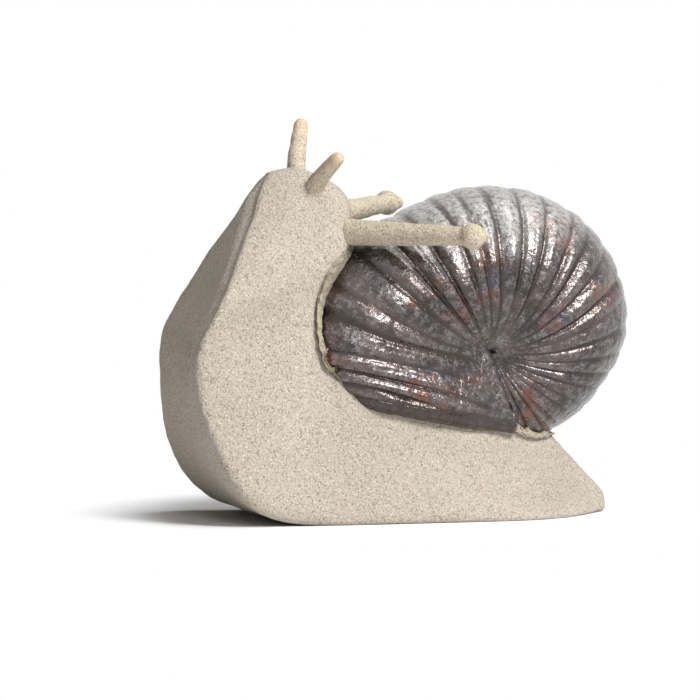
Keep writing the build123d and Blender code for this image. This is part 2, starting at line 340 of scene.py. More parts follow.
class Nodes:
    """Short hand for building one material's nodes."""

    def __init__(self, name: str) -> None:
        """Starts a material with a plain shader.

        Args:
            name: The material's name.
        """
        self.material = bpy.data.materials.new(name)
        self.material.use_nodes = True
        self.tree = self.material.node_tree
        self.shader = self.tree.nodes["Principled BSDF"]
        self.place = self.tree.nodes.new("ShaderNodeNewGeometry").outputs["Position"]

    def add(
        self, kind: str, values: dict[str | int, object], **settings: object
    ) -> bpy.types.Node:
        """Adds a node.

        Args:
            kind: Its type, without the words that all types begin with.
            values: An output or a plain value for each socket that is filled.
            settings: Its settings.

        Returns:
            The node.
        """
        node = self.tree.nodes.new("ShaderNode" + kind)
        for key, value in settings.items():
            setattr(node, key, value)
        for key, value in values.items():
            self.put(node.inputs[key], value)
        return node

    def put(self, socket: Socket, value: object) -> None:
        """Links a socket to an output, or sets its own value.

        Args:
            socket: The socket.
            value: An output, a number or a colour.
        """
        if isinstance(value, Socket):
            self.tree.links.new(value, socket)
        elif isinstance(value, tuple) and socket.type == "RGBA":
            socket.default_value = (*value, 1.0)
        else:
            socket.default_value = value

    def dress(self, values: dict[str, object]) -> Finish:
        """Fills the shader's own sockets and ends the material.

        Args:
            values: An output or a plain value for each socket that is filled.

        Returns:
            The material.
        """
        for key, value in values.items():
            self.put(self.shader.inputs[key], value)
        return self.material

    def cloud(self, cloud: Cloud) -> Socket:
        """Cloudy noise from 0 to 1.

        Args:
            cloud: Its size and layers.

        Returns:
            The noise.
        """
        look = {"Detail": cloud.detail, "Roughness": cloud.roughness}
        values = {"Vector": self.place, "Scale": 1 / cloud.size, **look}
        return self.add("TexNoise", values).outputs[0]

    def cells(self, size: float) -> Socket:
        """Distance from the middle of scattered grains of a size, from 0 to about 1."""
        return self.add("TexVoronoi", {"Vector": self.place, "Scale": 1 / size}).outputs["Distance"]

    def ramp(self, value: object, ramp: Ramp) -> Socket:
        """A value spread along a ramp."""
        values = {"Value": value, 1: ramp.start, 2: ramp.end, 3: ramp.low, 4: ramp.high}
        return self.add("MapRange", values, interpolation_type="SMOOTHSTEP").outputs[0]

    def patches(self, cloud: Cloud, ramp: Ramp) -> Socket:
        """Cloudy noise spread along a ramp."""
        return self.ramp(self.cloud(cloud), ramp)

    def result(self, kind: str, first: object, second: object) -> Socket:
        """Result of one arithmetic step, such as MULTIPLY or ADD."""
        return self.add("Math", {0: first, 1: second}, operation=kind).outputs[0]

    def mix(self, share: object, first: object, second: object) -> Socket:
        """A colour between two colours."""
        values = {"Factor": share, 6: first, 7: second}
        return self.add("Mix", values, data_type="RGBA").outputs[2]

    def part_of(self, axis: str) -> Socket:
        """The surface's X, Y or Z, in metres."""
        return self.add("SeparateXYZ", {0: self.place}).outputs[axis]

    def stored(self, name: str) -> Socket:
        """The number that a mesh stores at each vertex under a name."""
        return self.add("Attribute", {}, attribute_name=name).outputs["Fac"]

    def bump(self, height: object, bumps: Bumps, below: Socket | None = None) -> Socket:
        """Normals for a height field.

        Args:
            height: The field.
            bumps: How it stands out.
            below: Normals that it lies on, or none for the bare surface's.

        Returns:
            The normals.
        """
        values = {"Height": height, "Distance": bumps.distance, "Strength": bumps.strength}
        if below is not None:
            values["Normal"] = below
        return self.add("Bump", values).outputs[0]


@dataclass(frozen=True)
class SandyClay:
    """Bare fired stoneware with fine sand in it.

    A feeler has a tip height, and its clay is warmer from there down to where the tip fades.
    """

    name: str
    clay: Colour = (0.550, 0.480, 0.400)
    light_sand: Colour = (0.80, 0.755, 0.67)
    dark_sand: Colour = (0.25, 0.21, 0.15)
    warm_tip: Colour = (0.78, 0.56, 0.38)
    tip_height: float | None = None
    tip_fade: float = 0.003
    tip_share: float = 0.75
    shade: Cloud = Cloud(0.006, 3.0)
    shade_ramp: Ramp = Ramp(0.3, 0.7)
    shade_share: float = 0.93
    fine: Cloud = Cloud(0.00017, 2.0, 0.7)
    light_ramp: Ramp = Ramp(0.50, 0.70, 0.0, 0.85)
    coarse: Cloud = Cloud(0.000289, 3.0, 0.75)
    dark_ramp: Ramp = Ramp(0.52, 0.32, 0.0, 0.90)
    speck_size: float = 0.0007
    speck_ramp: Ramp = Ramp(0.17, 0.05, 0.0, 0.5)
    pits: Cloud = Cloud(0.0007, 3.0, 0.6)
    fine_bumps: Bumps = Bumps(0.00022, 0.9)
    pit_bumps: Bumps = Bumps(0.00034, 0.75)
    roughness: float = 0.9
    specular: float = 0.25

    def build(self) -> Finish:
        """Makes the material.

        Returns:
            The material.
        """
        nodes = Nodes(self.name)
        shaded = tuple(self.shade_share * part for part in self.clay)
        colour = nodes.mix(nodes.patches(self.shade, self.shade_ramp), self.clay, shaded)
        fine = nodes.cloud(self.fine)
        colour = nodes.mix(nodes.ramp(fine, self.light_ramp), colour, self.light_sand)
        colour = nodes.mix(nodes.patches(self.coarse, self.dark_ramp), colour, self.dark_sand)
        specks = nodes.ramp(nodes.cells(self.speck_size), self.speck_ramp)
        colour = nodes.mix(specks, colour, self.dark_sand)
        if self.tip_height is not None:
            faded = Ramp(self.tip_height - self.tip_fade, self.tip_height, 0.0, self.tip_share)
            colour = nodes.mix(nodes.ramp(nodes.part_of("Z"), faded), colour, self.warm_tip)
        sand = nodes.bump(fine, self.fine_bumps)
        values = {"Base Color": colour, "Roughness": self.roughness}
        values |= {"Normal": nodes.bump(nodes.cloud(self.pits), self.pit_bumps, sand)}
        return nodes.dress(values | {"Specular IOR Level": self.specular})


@dataclass(frozen=True)
class FiredGlaze:
    """Dark metallic glaze: silver on the ribs' crests, partly wear and partly painted highlight,
    rusty in patches, painted dark in the grooves and on the lip's band, and painted pale along the
    top as a reflection.

    It reads from the mesh how far each point is down in a groove and how far it is on the lip.
    """

    name: str
    dark: Colour = (0.030, 0.017, 0.012)
    bronze: Colour = (0.092, 0.064, 0.056)
    silver: Colour = (0.45, 0.45, 0.465)
    blue: Colour = (0.055, 0.055, 0.072)
    rust: Colour = (0.240, 0.066, 0.022)
    top_sheen: Colour = (0.43, 0.42, 0.40)
    shade: Cloud = Cloud(0.005, 4.0, 0.6)
    shade_ramp: Ramp = Ramp(0.38, 0.62)
    tint: Cloud = Cloud(0.0042)
    tint_ramp: Ramp = Ramp(0.55, 0.70, 0.0, 0.7)
    speckle: Cloud = Cloud(0.00030, 3.0, 0.7)
    crest_ramp: Ramp = Ramp(0.40, 0.04)
    # crest silver: partly worn glaze, partly a painted highlight along the ribs' crests
    worn_sheen: Cloud = Cloud(0.0009, 4.0, 0.75)
    worn_sheen_ramp: Ramp = Ramp(0.40, 0.66, 0.0, 0.36)
    silver_ramp: Ramp = Ramp(0.36, 0.56)
    rust_patch: Cloud = Cloud(0.0080, 4.0, 0.65)
    rust_patch_ramp: Ramp = Ramp(0.54, 0.64)
    rust_fleck: Cloud = Cloud(0.0008, 4.0, 0.7)
    rust_fleck_ramp: Ramp = Ramp(0.36, 0.66, 0.0, 0.7)
    # painted shade: how dark the grooves are painted
    groove_shade_ramp: Ramp = Ramp(0.30, 0.80, 0.0, 0.8)
    # painted shade: how dark the lip's plain band is painted, as its shaded underside
    lip_shade_ramp: Ramp = Ramp(0.25, 0.85, 0.0, 0.8)
    # painted reflection: a pale sheen painted on the glaze from this height up, broken, and weaker
    # in the grooves
    top_sheen_ramp: Ramp = Ramp(0.0310, 0.0370)
    top_sheen_cloud: Cloud = Cloud(0.0007, 5.0, 0.75)
    top_sheen_cloud_ramp: Ramp = Ramp(0.34, 0.58)
    top_sheen_groove_ramp: Ramp = Ramp(0.70, 0.20, 0.15, 1.0)
    top_sheen_share: float = 0.85
    gloss_ramp: Ramp = Ramp(0.35, 0.68, 0.22, 0.40)
    top_sheen_roughness: float = 0.35
    speckle_bumps: Bumps = Bumps(0.00007, 0.4)
    dimples: Cloud = Cloud(0.0008)
    dimple_bumps: Bumps = Bumps(0.00030, 0.6)
    metallic: float = 0.62
    ior: float = 1.40
    coat: float = 0.85
    coat_roughness: float = 0.19

    def build(self) -> Finish:
        """Makes the material.

        Returns:
            The material.
        """
        nodes = Nodes(self.name)
        groove, speckle = nodes.stored("groove"), nodes.cloud(self.speckle)
        painted_top_sheen = self.painted_top_sheen(nodes, groove)
        roughness = nodes.ramp(speckle, self.gloss_ramp)
        painted_top_sheen_roughness = nodes.result("MULTIPLY", painted_top_sheen, self.top_sheen_roughness)
        bumps = nodes.bump(speckle, self.speckle_bumps)
        bumps = nodes.bump(nodes.cloud(self.dimples), self.dimple_bumps, bumps)
        return nodes.dress(
            {
                "Base Color": self.colour(nodes, groove, speckle, painted_top_sheen),
                "Roughness": nodes.result("ADD", roughness, painted_top_sheen_roughness),
                "Normal": bumps,
                "Coat Normal": bumps,
                "Metallic": self.metallic,
                "IOR": self.ior,
                "Coat Weight": self.coat,
                "Coat Roughness": self.coat_roughness,
            }
        )

    def painted_top_sheen(self, nodes: Nodes, groove: Socket) -> Socket:
        """Where a pale reflection is painted on the glaze: high up, broken, and less so in the
        grooves.

        Args:
            nodes: The material's nodes.
            groove: How far the surface is down in a groove.

        Returns:
            A value from 0 to 1.
        """
        high = nodes.ramp(nodes.part_of("Z"), self.top_sheen_ramp)
        broken = nodes.patches(self.top_sheen_cloud, self.top_sheen_cloud_ramp)
        broken = nodes.result("MULTIPLY", broken, nodes.ramp(groove, self.top_sheen_groove_ramp))
        return nodes.result("MULTIPLY", high, broken)

    def colour(self, nodes: Nodes, groove: Socket, speckle: Socket, painted_top_sheen: Socket) -> Socket:
        """The glaze's colour.

        Args:
            nodes: The material's nodes.
            groove: How far the surface is down in a groove.
            speckle: Fine noise.
            painted_top_sheen: Where a pale reflection is painted on the glaze.

        Returns:
            The colour.
        """
        colour = nodes.mix(nodes.patches(self.shade, self.shade_ramp), self.dark, self.bronze)
        colour = nodes.mix(nodes.patches(self.tint, self.tint_ramp), colour, self.blue)
        # painted highlight: silver mixed on to the ribs' crests in broken patches, partly worn
        # glaze
        crest = nodes.ramp(groove, self.crest_ramp)
        worn_sheen = nodes.result("MULTIPLY", crest, nodes.patches(self.worn_sheen, self.worn_sheen_ramp))
        worn_sheen = nodes.result("MULTIPLY", worn_sheen, nodes.ramp(speckle, self.silver_ramp))
        colour = nodes.mix(worn_sheen, colour, self.silver)
        patch = nodes.patches(self.rust_patch, self.rust_patch_ramp)
        flecks = nodes.patches(self.rust_fleck, self.rust_fleck_ramp)
        colour = nodes.mix(nodes.result("MULTIPLY", patch, flecks), colour, self.rust)
        # painted shade: the grooves are mixed towards dark
        colour = nodes.mix(nodes.ramp(groove, self.groove_shade_ramp), colour, self.dark)
        # painted shade: the lip's plain band is mixed towards dark
        colour = nodes.mix(nodes.ramp(nodes.stored("lip"), self.lip_shade_ramp), colour, self.dark)
        # painted reflection: the pale sheen mixed in high up
        return nodes.mix(nodes.result("MULTIPLY", painted_top_sheen, self.top_sheen_share), colour, self.top_sheen)


@dataclass(frozen=True)
class RunSlip:
    """Slip in the seam: olive with rust where glaze ran into it, bare up the neck and behind."""

    name: str
    olive: Colour = (0.230, 0.200, 0.115)
    rust: Colour = (0.150, 0.085, 0.045)
    dusty: Colour = (0.45, 0.395, 0.305)
    stain: Cloud = Cloud(0.0012, 4.0, 0.7)
    stain_ramp: Ramp = Ramp(0.50, 0.64, 0.0, 0.8)
    neck_ramp: Ramp = Ramp(0.018, 0.022)
    tail_ramp: Ramp = Ramp(0.0095, 0.0115)
    ragged: Cloud = Cloud(0.0009, 4.0, 0.7)
    ragged_ramp: Ramp = Ramp(0.30, 0.55, 0.4, 1.0)
    sand: Cloud = Cloud(0.00030, 4.0, 0.75)
    sand_ramp: Ramp = Ramp(0.54, 0.36, 0.0, 0.9)
    grit: Cloud = Cloud(0.0004, 3.0, 0.7)
    grit_bumps: Bumps = Bumps(0.00035, 0.9)
    roughness: float = 0.62

    def build(self) -> Finish:
        """Makes the material.

        Returns:
            The material.
        """
        nodes = Nodes(self.name)
        colour = nodes.mix(nodes.patches(self.stain, self.stain_ramp), self.olive, self.rust)
        neck = nodes.ramp(nodes.part_of("Z"), self.neck_ramp)
        bare = nodes.result("MAXIMUM", neck, nodes.ramp(nodes.part_of("X"), self.tail_ramp))
        bare = nodes.result("MULTIPLY", bare, nodes.patches(self.ragged, self.ragged_ramp))
        colour = nodes.mix(bare, colour, self.dusty)
        colour = nodes.mix(nodes.patches(self.sand, self.sand_ramp), colour, self.olive)
        grit = nodes.bump(nodes.cloud(self.grit), self.grit_bumps)
        return nodes.dress({"Base Color": colour, "Normal": grit, "Roughness": self.roughness})


# Pieces


@dataclass(frozen=True)
class Column:
    """One section across the shell.

    Growth counts degrees round the navel, and then how far along the lip it is. A section is past
    the mouth's edge and sunk below it where the edge is rounded over. Its row is as in the lip's
    table.
    """

    growth: float
    row: Row
    past: float = 0.0
    sunk: float = 0.0


@dataclass
class Shell:
    """The ribbed shell: a coil round its navel, and the lip that comes down over it."""

    radius: float = 0.0203
    half_width: float = 0.0116
    navel: Pair = (0.00939, 0.02001)
    # degrees round the navel, radius, fullest at, half width, half width at the navel
    coil_shares: tuple[Row, ...] = (
        (-78.0, 0.640, 0.46, 0.600, 0.560),
        (-46.0, 0.690, 0.46, 0.660, 0.565),
        (-17.0, 0.813, 0.46, 0.730, 0.575),
        (6.0, 0.940, 0.46, 0.805, 0.585),
        (31.0, 1.000, 0.46, 0.870, 0.590),
        (60.0, 1.010, 0.46, 0.930, 0.595),
        (92.0, 0.970, 0.46, 0.970, 0.600),
        (120.0, 0.945, 0.48, 0.990, 0.600),
        (142.0, 1.050, 0.53, 1.000, 0.600),
        (160.0, 1.160, 0.59, 1.000, 0.610),
        (178.0, 1.250, 0.64, 1.000, 0.620),
    )
    # start along, start up, end along, end up, fullest at, half width, half width at the start
    lip_shares: tuple[Row, ...] = (
        (0.040, -0.110, -1.240, -0.030, 0.66, 1.000, 0.640),
        (0.075, -0.225, -1.200, -0.080, 0.66, 1.000, 0.670),
        (0.110, -0.335, -1.140, -0.125, 0.68, 1.000, 0.690),
        (0.150, -0.445, -1.070, -0.185, 0.68, 0.940, 0.700),
    )
    slope_shares: Pair = (0.45, 0.40)
    shoulder_share: float = 0.45
    rim_share: float = 0.56
    # each section's start at the navel: the radius of its edge, and how deep it turns in
    seam_round: float = 0.0006
    seam_wall: float = 0.0018
    # the mouth's edge: its radius, how much of that lies before the mouth, how much the start
    # narrows with it, and how far its inside goes towards the middle
    mouth_round: float = 0.0010
    mouth_short: float = 0.1
    mouth_taper: float = 0.6
    mouth_inward: float = 0.5
    # the ribs: how many, how they widen as the shell grows, and how they bend near the navel
    coil_ribs: float = 26.0
    lip_ribs: float = 3.0
    rib_gain: float = 0.25
    rib_bend: float = 20.0
    rib_bend_power: float = 1.3
    # the ribs' chances: which draws, spare ribs in all and before the first, places and depths
    seed: int = 4
    spare_ribs: int = 8
    first_spare_ribs: int = 3
    rib_shifts: Pair = (-0.2, 0.2)
    rib_depths: Pair = (0.45, 1.15)
    # the ribs' profile: a narrow groove, and a crest that bulges between two of them
    rib_depth: float = 0.00062
    groove_width: float = 0.15
    groove_power: float = 1.6
    crest_share: float = 0.40
    ridge_depth: float = 0.00006
    ridges_a_rib: float = 3.1
    ridge_wander: float = 0.7
    ridge_wander_rate: float = 2.3
    # where the ribs rise from the navel, calm down towards the rim, and are weak on the early whorl
    navel_span: Pair = (0.10, 0.55)
    calm_span: Pair = (0.72, 1.0)
    calm_share: float = 0.55
    early_span: Pair = (0.2, 0.5)
    early_share: float = 0.45
    # how the stored groove value, which the glaze paints as shade in grooves and highlight on
    # crests, rises from the navel
    groove_shade_span: Pair = (0.02, 0.25)
    # the lip swells, and ends in a plain band
    lip_roll: float = 0.00065
    swell_span: Pair = (0.30, 0.95)
    swell_out_span: Pair = (0.05, 0.3)
    margin_span: Pair = (0.84, 0.98)
    lump_grains: Pair = (0.0030, 0.0010)
    lump_heights: Pair = (0.00012, 0.00005)
    lump_seed: int = 1
    coil_columns: int = 350
    lip_columns: int = 64
    round_columns: int = 10
    flank_rows: int = 54
    rim_rows: int = 40

    @property
    def coil_span(self) -> Pair:
        """Degrees round the navel where the coil begins and where it passes into the lip."""
        return self.coil_shares[0][0], self.coil_shares[-1][0]

    def section(
        self, start_half: float, half: float, fullest_at: float, reach: float
    ) -> np.ndarray:
        """Half an outline across the shell, from its start to its rim.

        Args:
            start_half: Half width where it starts.
            half: Half width at its fullest place.
            fullest_at: Where that is, as a share of the reach.
            reach: Distance from the start to the rim.

        Returns:
            Points as (distance across, distance out), one a row.
        """
        fullest = fullest_at * reach
        across, out = self.slope_shares
        flank = [
            (start_half, 0.0),
            (start_half + (half - start_half) * across, fullest * out),
            (half, fullest * (1 - self.shoulder_share)),
            (half, fullest),
        ]
        rim = [
            (half, fullest),
            (half, fullest + (reach - fullest) * self.rim_share),
            (half * self.rim_share, reach),
            (0.0, reach),
        ]
        curve = np.vstack([bezier(flank, self.flank_rows), bezier(rim, self.rim_rows)[1:]])
        near = np.clip(1 - curve[:, 1] / self.seam_round, 0, 1)
        curve[:, 0] -= self.seam_round * (1 - np.sqrt(1 - near**2))
        return np.vstack([[(curve[0, 0] - self.seam_wall, 0.0)], curve])

    def coil_row(self, degrees: float) -> Row:
        """The coil's section at an angle round the navel, as a row of the lip's table.

        Args:
            degrees: The angle.

        Returns:
            The row.
        """
        radius, *widths = blended(self.coil_shares, degrees)
        turn = math.radians(degrees)
        return (0.0, 0.0, radius * math.cos(turn), radius * math.sin(turn), *widths)

    def lip_row(self, at: float) -> Row:
        """The lip's section at a place.

        Args:
            at: The place, from 0 at the coil to 1 at the mouth.

        Returns:
            The row.
        """
        rows = [self.coil_row(self.coil_span[1]), *self.lip_shares]
        count = len(self.lip_shares)
        return tuple(blended([(n / count, *row) for n, row in enumerate(rows)], at))

    def columns(self) -> list[Column]:
        """All sections along the shell's growth.

        Returns:
            The sections, from the early whorl to the mouth's rounded edge.
        """
        first, last = self.coil_span
        listed = []
        for n in range(self.coil_columns):
            degrees = first + (last - first) * n / self.coil_columns
            listed.append(Column(degrees, self.coil_row(degrees)))
        for n in range(self.lip_columns):
            at = n / self.lip_columns
            listed.append(Column(last + at, self.lip_row(at)))
        for n in range(self.round_columns + 1):
            angle = math.radians(90 * n / self.round_columns)
            past = self.mouth_round * (math.sin(angle) - self.mouth_short)
            sunk = self.mouth_round * (1 - math.cos(angle))
            listed.append(Column(last + 1, self.lip_row(1.0), past, sunk))
        return listed

    def rib_phase(self, growth: float, share_out: np.ndarray) -> np.ndarray:
        """Which rib each point of one section is on.

        Args:
            growth: How far the shell has grown at the section.
            share_out: How far out each point is, from 0 to 1.

        Returns:
            Rib numbers with fractions. Ribs bend as they leave the navel, so they differ along
            one section.
        """
        first, last = self.coil_span
        bend = self.rib_bend * (1 - share_out) ** self.rib_bend_power
        if growth < last:
            degrees = growth + bend * math.cos(math.radians(growth))
            past = np.clip(degrees - last, 0, None)
        else:
            degrees = last - bend
            past = np.zeros_like(bend)
        gain = self.rib_gain
        share = (np.minimum(degrees, last) - first) / (last - first)
        turns = np.sign(share) * (np.sqrt(1 + 4 * gain * (1 + gain) * np.abs(share)) - 1)
        pitch = (last - first) / self.coil_ribs * (1 + 2 * gain) / (1 + gain)
        phase = self.coil_ribs * turns / (2 * gain) + past / pitch
        return phase + max(growth - last, 0.0) * self.lip_ribs

    def relief(
        self, phase: np.ndarray, share_out: np.ndarray, grown: float
    ) -> tuple[np.ndarray, np.ndarray]:
        """How deep the ribs' grooves cut, and how far each point is down in one.

        Args:
            phase: Which rib each point is on.
            share_out: How far out it is, from 0 to 1.
            grown: How far the shell has grown there, from 0 at its early whorl to 1 at its lip.

        Returns:
            Depths in metres, and places from 0 on a crest to 1 in a groove.
        """
        chance = np.random.default_rng(self.seed)
        count = int(self.coil_ribs + self.lip_ribs) + self.spare_ribs
        shift = chance.uniform(*self.rib_shifts, count)
        deep = chance.uniform(*self.rib_depths, count)
        base = np.floor(phase).astype(int)
        groove = np.zeros_like(phase)
        for step in (-1, 0, 1, 2):
            n = np.clip(base + step + self.first_spare_ribs, 0, count - 1)
            gap = np.abs(phase - (base + step) - shift[n])
            cut = deep[n] * np.exp(-((gap / self.groove_width) ** self.groove_power))
            groove = np.maximum(groove, cut)
        crest = (2 * (phase - base) - 1) ** 2
        wander = self.ridge_wander * np.sin(self.ridge_wander_rate * phase)
        ridge = 0.5 + 0.5 * np.sin(2 * math.pi * (self.ridges_a_rib * phase + wander))
        calm = 1 - self.calm_share * eased(share_out, *self.calm_span)
        late = float(eased(grown, *self.early_span))
        strength = self.early_share + (1 - self.early_share) * late
        strength = eased(share_out, *self.navel_span) * calm * strength
        ribs = (1 - self.crest_share) * groove + self.crest_share * crest
        depth = strength * (self.rib_depth * ribs + self.ridge_depth * ridge)
        return depth, groove * eased(share_out, *self.groove_shade_span)

    def ring(self, column: Column) -> tuple[np.ndarray, np.ndarray, np.ndarray, float]:
        """One section's points round the shell, from its near flank over the rim to its far one.

        Args:
            column: The section.

        Returns:
            The points before the ribs are cut, how deep each is cut, how far each is down in a
            groove, and how far the section is on the lip's plain band.
        """
        first, last = self.coil_span
        row, sunk = column.row, column.sunk
        start = np.array(row[:2]) * self.radius + self.navel
        end = np.array(row[2:4]) * self.radius + self.navel
        out = (end - start) / np.linalg.norm(end - start)
        down = np.array([-out[1], out[0]])
        reach = np.linalg.norm(end - start) - sunk
        fullest_at, half, start_half = row[4:]
        half = half * self.half_width - sunk
        start_half = start_half * self.half_width - sunk * self.mouth_taper
        curve = self.section(start_half, half, fullest_at, reach)
        flat = start + down * column.past + curve[:, 1:] * out
        near = np.column_stack([flat[:, 0], -curve[:, 0], flat[:, 1]])
        share_out = curve[:, 1] / reach
        grown = (column.growth - first) / (last - first)
        depth, groove = self.relief(self.rib_phase(column.growth, share_out), share_out, grown)
        margin = float(eased(column.growth - last, *self.margin_span))
        swell = float(eased(column.growth - last, *self.swell_span))
        depth, groove = depth * (1 - margin), groove * (1 - margin)
        depth = depth - self.lip_roll * swell * eased(share_out, *self.swell_out_span)
        points = np.vstack([near, near[-2::-1] * (1, -1, 1)])
        return (
            points,
            np.concatenate([depth, depth[-2::-1]]),
            np.concatenate([groove, groove[-2::-1]]),
            margin,
        )

    def carved(self, surface: np.ndarray, depths: np.ndarray) -> np.ndarray:
        """The surface with its ribs cut in and a little lumpy.

        Args:
            surface: Points, by section and by place round it.
            depths: How deep each is cut.

        Returns:
            The moved points, laid out alike.
        """
        outward = np.cross(np.gradient(surface, axis=1), np.gradient(surface, axis=0))
        length = np.linalg.norm(outward, axis=2, keepdims=True)
        outward /= np.maximum(length, 1e-12)
        flat = surface.reshape(-1, 3)
        rough = lumpy(flat, self.lump_grains, self.lump_heights, self.lump_seed)
        return surface - outward * (depths - rough.reshape(surface.shape[:2]))[:, :, None]

    def build(self, finish: Finish) -> Piece:
        """Makes the shell and puts it in the CAD shell's place.

        Args:
            finish: The glaze.

        Returns:
            The new piece.
        """
        rings, depths, grooves, margins = zip(*(self.ring(column) for column in self.columns()))
        surface = self.carved(np.array(rings), np.array(depths))
        count, ring = surface.shape[:2]
        inner = surface[-1] + (surface[-1].mean(axis=0) - surface[-1]) * self.mouth_inward
        points = np.vstack([surface.reshape(-1, 3), inner])
        corners = [n * ring + k for n in range(count) for k in range(ring - 1)]
        faces = [(a, a + 1, a + ring + 1, a + ring) for a in corners]
        mesh = bpy.data.meshes.new("ribbed_shell")
        mesh.from_pydata(points.tolist(), [], faces)
        piece = linked("ribbed_shell", mesh)
        # painted shade: the mouth's inner cap counts as deep groove and lip band, so the glaze
        # paints it dark
        shaded_inside = np.ones(ring)
        keep_values(piece, "groove", np.concatenate([*grooves, shaded_inside]))
        keep_values(piece, "lip", np.concatenate([np.repeat(margins, ring), shaded_inside]))
        settled(piece, ["shell"], finish)
        return piece


@dataclass
class Body:
    """The hand-shaped foot, neck and head, with clay pushed up against the shell."""

    voxel: float = 0.00034
    smoothing: int = 8
    lump_grains: Pair = (0.0070, 0.0022)
    lump_heights: Pair = (0.00034, 0.00008)
    lump_seed: int = 10
    # clay pushed up against the shell's edge
    collar_reach: float = 0.0010
    collar_height: float = 0.00024
    collar_grain: float = 0.0011
    collar_least: float = 0.6
    collar_ragged: float = 0.8
    collar_seed: int = 12
    collar_span: Pair = (0.018, 0.026)
    # the chest, found in bands of height by the way it faces, and the crease beside its edges
    chest_facing: float = -0.5
    crease_band: float = 0.0012
    crease_inset: float = 0.0013
    crease_width: float = 0.0011
    crease_depth: float = 0.0008
    crease_least: float = 0.35
    crease_span: Pair = (0.010, 0.032)
    crease_end: Pair = (0.0395, 0.0420)
    # the foot's lower edge, which spreads towards the tail below a waist
    skirt_span: Pair = (0.0, 0.016)
    skirt_rise: float = 0.0048
    skirt_spread: float = 0.150
    waist_height: float = 0.0065
    waist_reach: float = 0.0040
    waist_narrowing: float = 0.110
    tail_spread: float = 0.0009
    # the tail's end, worn smooth, and the sole, which stays flat
    worn_span: Pair = (0.018, 0.025)
    worn_smoothing: int = 40
    sole_span: Pair = (0.0, 0.0012)

    def creased(self, points: np.ndarray, normals: np.ndarray) -> np.ndarray:
        """Sinks the chest beside the edges where the sides fold over it.

        Args:
            points: The body's points.
            normals: The directions that they face.

        Returns:
            The moved points.
        """
        across, height = np.abs(points[:, 1]), points[:, 2]
        level = np.clip((height / self.crease_band).astype(int), 0, None)
        chest = (normals[:, 0] < self.chest_facing) & (points[:, 0] < 0)
        wide = np.full(level.max() + 1, np.inf)
        for n in range(len(wide)):
            band = across[chest & (level == n)]
            if len(band):
                wide[n] = band.max()
        edge = np.interp(height / self.crease_band - 0.5, np.arange(len(wide)), wide)
        off = np.clip(edge - across - self.crease_inset, -1, 1)
        near = np.exp(-((off / self.crease_width) ** 2))
        high = eased(height, *self.crease_span) * (1 - eased(height, *self.crease_end))
        share = self.crease_least + (1 - self.crease_least) * high
        moved = points.copy()
        moved[:, 0] += self.crease_depth * near * share * np.clip(-normals[:, 0], 0, 1)
        return moved

    def skirted(self, points: np.ndarray) -> np.ndarray:
        """Spreads the foot's lower edge towards the tail and narrows it above.

        Args:
            points: The body's points.

        Returns:
            The moved points.
        """
        tail = eased(points[:, 0], *self.skirt_span)
        low = np.clip(1 - points[:, 2] / self.skirt_rise, 0, 1) ** 2
        waist = np.exp(-(((points[:, 2] - self.waist_height) / self.waist_reach) ** 2))
        moved = points.copy()
        moved[:, 1] *= 1 + tail * (self.skirt_spread * low - self.waist_narrowing * waist)
        moved[:, 0] += self.tail_spread * low * tail
        return moved

    def worn_sheen(self, piece: Piece) -> None:
        """Smooths the tail's end.

        Args:
            piece: The body.
        """
        tail = piece.vertex_groups.new(name="tail")
        for n, share in enumerate(eased(points_of(piece)[:, 0], *self.worn_span)):
            tail.add([n], float(share), "REPLACE")
        smoothed(piece, self.worn_smoothing, "tail")
        reworked(piece)

    def build(self, finish: Finish, shell: Piece) -> Piece:
        """Makes the body and presses its edge up round the shell.

        Args:
            finish: The clay.
            shell: The shell that it carries.

        Returns:
            The new piece.
        """
        piece = clay_copy(["body"], "clay_body", self.voxel, self.smoothing)
        self.worn_sheen(piece)
        move_points(piece, self.skirted(self.creased(points_of(piece), normals_of(piece))))
        points, normals = points_of(piece), normals_of(piece)
        height = lumpy(points, self.lump_grains, self.lump_heights, self.lump_seed)
        near, _ = nearness(points, surface_of(shell), self.collar_reach)
        ragged = lumps(points, self.collar_grain, self.collar_seed)
        ragged = self.collar_least + self.collar_ragged * ragged
        collar = self.collar_height * eased(near, 0, 1) * ragged
        height += collar * eased(points[:, 2], *self.collar_span)
        height *= eased(points[:, 2], *self.sole_span)
        move_points(piece, points + normals * height[:, None])
        settled(piece, ["body"], finish)
        return piece


@dataclass
class SeamBead:
    """The ragged line of slip between the shell and the body, thinner than the CAD bead."""

    voxel: float = 0.00014
    smoothing: int = 8
    inset: float = 0.00056
    tail_inset: float = -0.00030
    tail_span: Pair = (0.009, 0.012)
    lump_grain: float = 0.0008
    lump_height: float = 0.00018
    lump_seed: int = 20

    def build(self, finish: Finish) -> Piece:
        """Makes the bead from the CAD bead.

        Args:
            finish: The slip.

        Returns:
            The new piece.
        """
        piece = clay_copy(["seam_bead"], "slip_seam", self.voxel, self.smoothing)
        points, normals = points_of(piece), normals_of(piece)
        inset = self.inset + self.tail_inset * eased(points[:, 0], *self.tail_span)
        height = self.lump_height * lumps(points, self.lump_grain, self.lump_seed) - inset
        move_points(piece, points + normals * height[:, None])
        settled(piece, ["seam_bead"], finish)
        return piece


